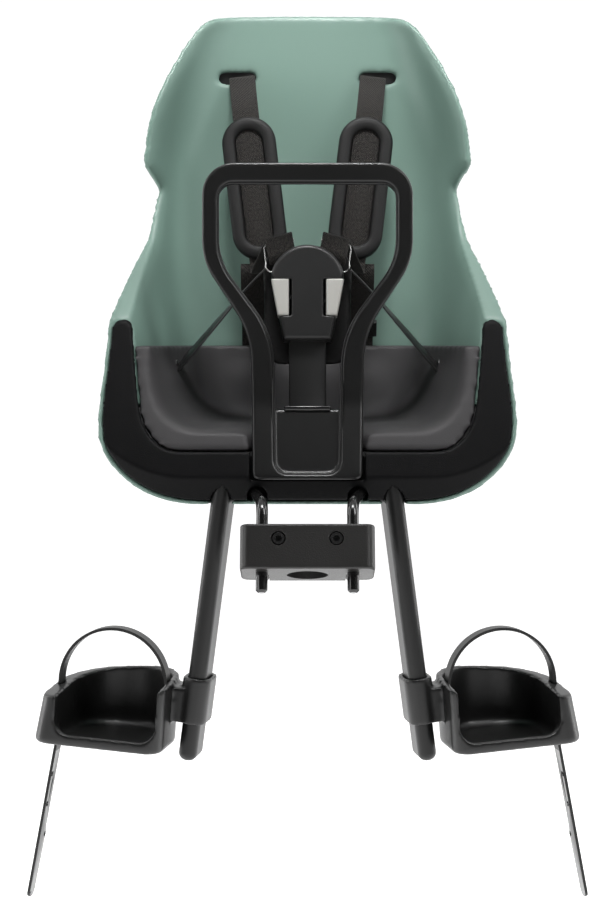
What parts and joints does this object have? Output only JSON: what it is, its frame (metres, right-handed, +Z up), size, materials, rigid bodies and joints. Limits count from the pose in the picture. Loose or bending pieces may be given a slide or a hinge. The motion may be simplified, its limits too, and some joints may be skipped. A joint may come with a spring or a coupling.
{
  "type": "kids handlebar bike seat",
  "caption": "Front child bicycle seat: moulded bucket shell with foam liner, grab loop, harness, sliding footrests and a stem clamp block.",
  "frame": {"origin": "on the axis of the stem clamp, half way up the clamp block", "axes": "+X to the child's left, +Y to the rear of the bicycle, +Z up; the stem axis leans back by 20 degrees"},
  "size_m": [0.5246, 0.2891, 0.818],
  "materials": {
    "shell": "satin moulded plastic",
    "fascia": "fine grain",
    "foam": "matte closed-cell foam",
    "chassis": "plain moulded",
    "handle": "satin fine grain",
    "fastener": "zinc plated",
    "rod": "gloss black",
    "leg": "satin",
    "clamp": "satin speckled",
    "trim": "plain moulded",
    "webbing": "coarse woven",
    "pad": "matte",
    "buckle": "satin gloss",
    "button": "satin",
    "spring": "bare",
    "tongue": "bare",
    "footrest": "satin",
    "foot_strap": "satin"
  },
  "bodies": {
    "mount_block": {"clamp_block": "clamp", "clamp_yoke": "clamp", "clamp_bolts": "fastener", "clamp_nuts": "fastener"},
    "seat": {"seat_shell": "shell", "front_fascia": "fascia", "seat_cushion": "foam", "seat_base": "chassis", "grab_handle": "handle", "handle_screws": "fastener", "carrier_rod": "rod", "rod_clips": "chassis", "rod_clip_screws": "fastener", "leg_left": "leg", "leg_right": "leg", "leg_bolts": "fastener", "strap_adjuster": "trim", "crotch_strap": "webbing", "crotch_pin": "fastener", "buckle_front": "buckle", "buckle_rear": "buckle", "buckle_spring": "spring", "buckle_pad": "pad", "shoulder_strap_left": "webbing", "shoulder_pad_left": "pad", "strap_keeper_left": "trim", "lower_strap_left": "webbing", "lap_strap_left": "webbing", "lap_anchor_left": "trim", "buckle_tongue_left": "tongue", "shoulder_strap_right": "webbing", "shoulder_pad_right": "pad", "strap_keeper_right": "trim", "lower_strap_right": "webbing", "lap_strap_right": "webbing", "lap_anchor_right": "trim", "buckle_tongue_right": "tongue"},
    "footrest_left": {"footrest_left": "footrest", "foot_strap_left": "foot_strap"},
    "footrest_right": {"footrest_right": "footrest", "foot_strap_right": "foot_strap"},
    "button_left": {"buckle_button_left": "button"},
    "button_right": {"buckle_button_right": "button"}
  },
  "joints": [
    {"name": "seat_lift", "type": "slide", "parent": "mount_block", "child": "seat", "axis": [0, 0.342, 0.9397], "range_m": [0, 0.055]},
    {"name": "footrest_left_slide", "type": "slide", "parent": "seat", "child": "footrest_left", "axis": [-0.1305, 0, 0.9914], "range_m": [0, 0.08]},
    {"name": "footrest_right_slide", "type": "slide", "parent": "seat", "child": "footrest_right", "axis": [0.1305, 0, 0.9914], "range_m": [0, 0.08]},
    {"name": "button_left_press", "type": "slide", "parent": "seat", "child": "button_left", "axis": [-1, 0, 0], "range_m": [0, 0.002], "stiffness_N_per_m": 600, "springref_m": -0.003, "deforming": ["buckle_spring"]},
    {"name": "button_right_press", "type": "slide", "parent": "seat", "child": "button_right", "axis": [1, 0, 0], "range_m": [0, 0.002], "stiffness_N_per_m": 600, "springref_m": -0.003}
  ]
}
